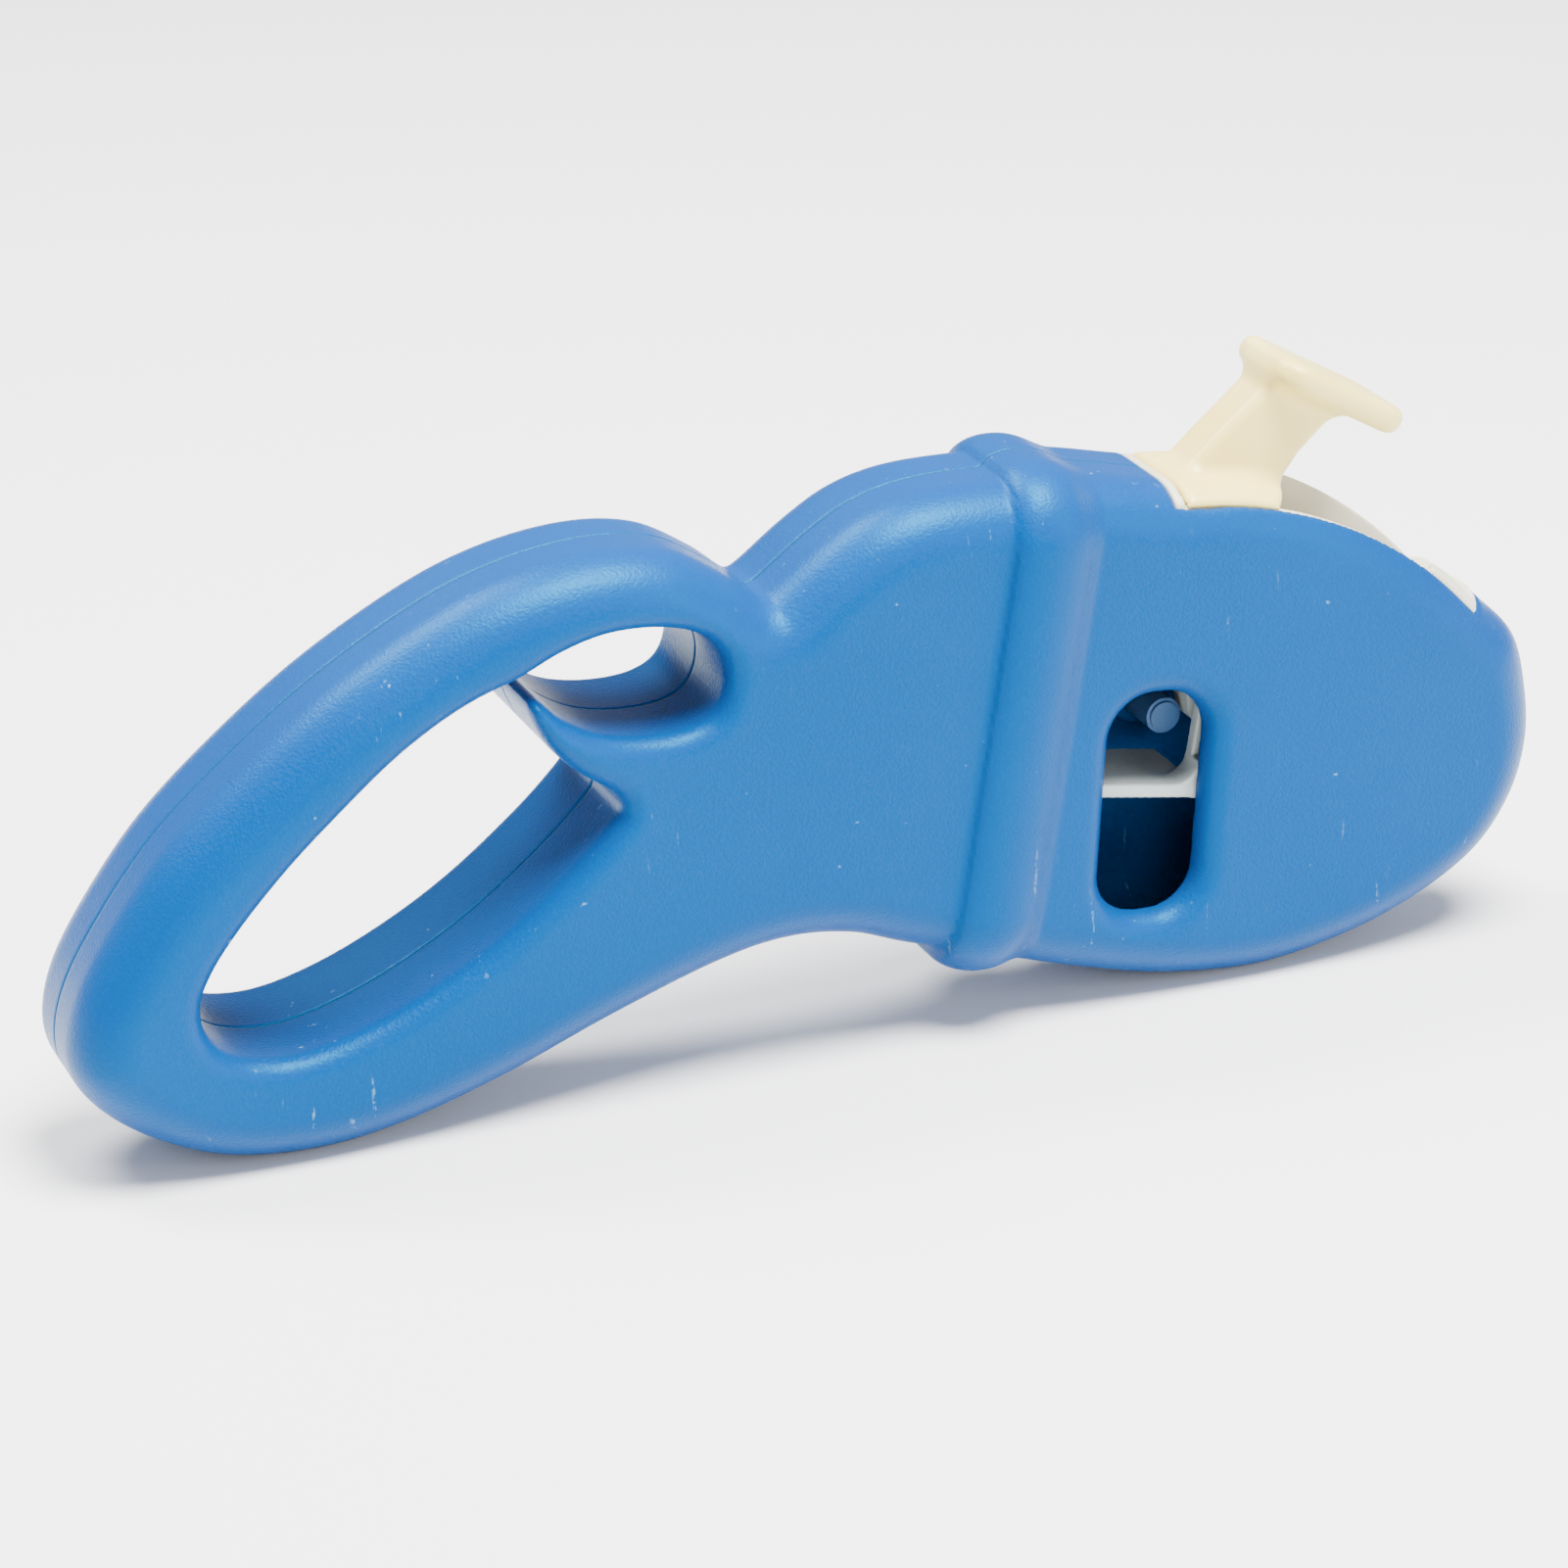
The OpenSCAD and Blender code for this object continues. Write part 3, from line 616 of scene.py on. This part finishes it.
creamLook = {"cream": (0.80, 0.62, 0.165, 1), "light": (0.86, 0.72, 0.27, 1),
    "grime": (0.45, 0.38, 0.27, 1), "rough": 0.36, "depth": 0.12, "depthReach": (0.004, 0.003, 0.002)}


def creamMaterial():
    g = Graph("creamLever")
    at = g.place()
    cloud = g.ramp(g.noise(at, 60, 3), [(0.3, 0), (0.7, 1)])
    tone = g.blend(cloud, creamLook["cream"], creamLook["light"])
    grime = g.ramp(g.noise(at, 300, 4, 0.7), [(0.62, 0), (0.8, 1)])
    tone = g.blend(grime * 0.18, tone, creamLook["grime"])
    fineGrain = g.noise(at, 1900, 2)
    g.set("Base Color", tone)
    g.set("Roughness", creamLook["rough"] + (fineGrain - 0.5) * 0.12 + grime * 0.1)
    g.set("Subsurface Weight", creamLook["depth"])
    g.set("Subsurface Radius", creamLook["depthReach"])
    g.set("Normal", g.bump(fineGrain, 0.00002, 0.5))
    return g.material


plasticLooks = {
    "offWhiteLiner": {"low": (0.56, 0.53, 0.41, 1), "high": (0.64, 0.61, 0.49, 1), "rough": 0.4},
    # the latch's white plastic gets a grey base: partly its own tint, partly painted shade inside the housing
    "shadedWhiteLatch": {"low": (0.36, 0.40, 0.39, 1), "high": (0.42, 0.46, 0.45, 1), "rough": 0.4},
    "paleBluePost": {"low": (0.03, 0.09, 0.22, 1), "high": (0.045, 0.12, 0.27, 1), "rough": 0.4},
}


def plasticMaterial(name):
    g, look = Graph(name), plasticLooks[name]
    at = g.place()
    cloud = g.ramp(g.noise(at, 90, 3), [(0.3, 0), (0.7, 1)])
    fineGrain = g.noise(at, 1600, 2)
    g.set("Base Color", g.blend(cloud, look["low"], look["high"]))
    g.set("Roughness", look["rough"] + (fineGrain - 0.5) * 0.14)
    g.set("Normal", g.bump(fineGrain, 0.00002, 0.5))
    return g.material


metalLooks = {
    "zincSteel": {"low": (0.5, 0.5, 0.5, 1), "high": (0.66, 0.66, 0.67, 1), "rough": 0.32},
    "springWire": {"low": (0.34, 0.34, 0.36, 1), "high": (0.5, 0.5, 0.52, 1), "rough": 0.28},
    "brassInsert": {"low": (0.62, 0.45, 0.2, 1), "high": (0.78, 0.6, 0.3, 1), "rough": 0.3},
}


def metalMaterial(name):
    g, look = Graph(name), metalLooks[name]
    at = g.place()
    streak = g.noise(at, 900, 3, 0.6, (1.0, 0.08, 1.0))
    cloud = g.ramp(g.noise(at, 240, 2), [(0.35, 0), (0.7, 1)])
    g.set("Base Color", g.blend(cloud, look["low"], look["high"]))
    g.set("Metallic", 1.0)
    g.set("Roughness", look["rough"] + (streak - 0.5) * 0.2)
    g.set("Normal", g.bump(streak, 0.00001, 0.4))
    return g.material


rubberLook = {"low": (0.012, 0.012, 0.013, 1), "high": (0.035, 0.035, 0.036, 1), "rough": 0.72}


def rubberMaterial():
    g = Graph("blackRubber")
    at = g.place()
    grit = g.noise(at, 1400, 3)
    g.set("Base Color", g.blend(grit, rubberLook["low"], rubberLook["high"]))
    g.set("Roughness", rubberLook["rough"] + (grit - 0.5) * 0.2)
    g.set("Normal", g.bump(grit, 0.00003, 0.6))
    return g.material


blueShell = shellMaterial()
cream = creamMaterial()
offWhite = plasticMaterial("offWhiteLiner")
# this darker white is partly painted shade, for the parts inside the housing
shadedWhite = plasticMaterial("shadedWhiteLatch")
paleBlue = plasticMaterial("paleBluePost")
steel = metalMaterial("zincSteel")
springSteel = metalMaterial("springWire")
brass = metalMaterial("brassInsert")
rubber = rubberMaterial()


def dress(obj, material):
    obj.data.materials.clear()
    obj.data.materials.append(material)


# piece, the CAD node it stands for, its body, its material and its slot
pieces = [(shellFront, "front_shell", "base", blueShell, "blue_plastic"),
    (shellBack, "back_shell", "base", blueShell, "blue_plastic"),
    (leverPiece, "thumb_lever", "trigger", cream, "cream_plastic"),
    (troughPiece, "slot_liner", "base", offWhite, "white_plastic"),
    (latchPiece, "latch_bar", "latch", shadedWhite, "white_plastic"),
    (springPiece, "return_spring", "base", springSteel, "spring_steel")]
for piece, node, rider, material, slotName in pieces:
    dress(piece, material)
    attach(piece, rider)
    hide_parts(node)

# CAD nodes that keep their own shape
carried = {"carriage_keeper": shadedWhite, "keeper_screws": steel, "nose_bumper": rubber,
    "latch_guide": shadedWhite, "guide_screws": steel, "drive_pin": steel, "drive_clip": steel,
    "rest_post": paleBlue, "post_sleeve": paleBlue,
    "head_screws": steel, "handle_screws": steel, "screw_inserts": brass}
for node, material in carried.items():
    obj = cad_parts[node]
    for s in obj.material_slots:
        s.material = material
    if not obj.material_slots:
        obj.data.materials.append(material)

# the spring's free length and its squeeze under the pulled bar are worked out here but not applied to it
free = spring["to"] - spring["from"]
Vector(onBar(1, 0, 0)) - Vector(onBar(0, 0, 0))
Vector(onBar(spring["to"], spring["v"], spring["t"])) * mm
(free - latch["travel"]) / free
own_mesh(springPiece)
print("pieces dressed")

# floor, lights and camera
studio = {"floor": (0.86, 0.86, 0.86, 1), "floorDim": (0.82, 0.82, 0.82, 1), "floorHalf": 4.0,
    "world": 0.53,
    # name, place, aim, width and watts
    "lamps": [("keySoft", (0.14, -0.24, 1.0), (0, 0, 0.04), 0.55, 50.0),
        ("topSoft", (-0.3, 0.4, 0.9), (0, 0, 0.05), 0.5, 18.0),
        ("sideSoft", (0.75, -0.9, 0.42), (0.02, 0, 0.04), 0.6, 5.5),
        ("frontSoft", (-0.2, -1.0, 0.42), (0.02, 0, 0.04), 0.4, 3.0)]}


def makeFloor():
    mesh = bpy.data.meshes.new("floorSheet")
    w = studio["floorHalf"]
    mesh.from_pydata([(-w, -w, 0), (w, -w, 0), (w, w, 0), (-w, w, 0)], [], [(0, 1, 2, 3)])
    floor = putIn("floorSheet", mesh)
    g = Graph("floorPaper")
    at = g.place()
    paper = g.noise(at, 400, 2)
    g.set("Base Color", g.blend(paper * 0.2, studio["floor"], studio["floorDim"]))
    g.set("Roughness", 0.9)
    dress(floor, g.material)


def softLight(name, at, aim, size, power):
    data = bpy.data.lights.new(name, "AREA")
    data.shape, data.size, data.energy = "DISK", size, power
    lamp = putIn(name, data)
    lamp.location = at
    lamp.rotation_euler = (Vector(aim) - Vector(at)).to_track_quat("-Z", "Y").to_euler()


makeFloor()
world = bpy.data.worlds.new("softRoom")
bpy.context.scene.world = world
world.use_nodes = True
world.node_tree.nodes["Background"].inputs[0].default_value = (1, 1, 1, 1)
world.node_tree.nodes["Background"].inputs[1].default_value = studio["world"]
for lamp in studio["lamps"]:
    softLight(*lamp)

view = {"azimuth": -22, "elevation": 22, "lean": 1.55, "distance": 0.7, "lens": 122.77,
    "sensor": 36, "aim": (-0.0035, 0.0, 0.0356)}


def makeCamera():
    data = bpy.data.cameras.new("viewCamera")
    data.lens, data.sensor_width = view["lens"], view["sensor"]
    cam = putIn("viewCamera", data)
    turn = Matrix.Rotation(math.radians(view["lean"]), 3, "Y")
    a, e = math.radians(view["azimuth"]), math.radians(view["elevation"])
    back = Vector((math.sin(a) * math.cos(e), -math.cos(a) * math.cos(e), math.sin(e)))
    right = Vector((math.cos(a), math.sin(a), 0))
    up = back.cross(right)
    back, right, up = turn @ back, turn @ right, turn @ up
    cam.matrix_world = Matrix.LocRotScale(Vector(view["aim"]) + back * view["distance"],
        Matrix((right, up, back)).transposed().to_quaternion(), None)
    bpy.context.scene.camera = cam


makeCamera()
print("studio ready")
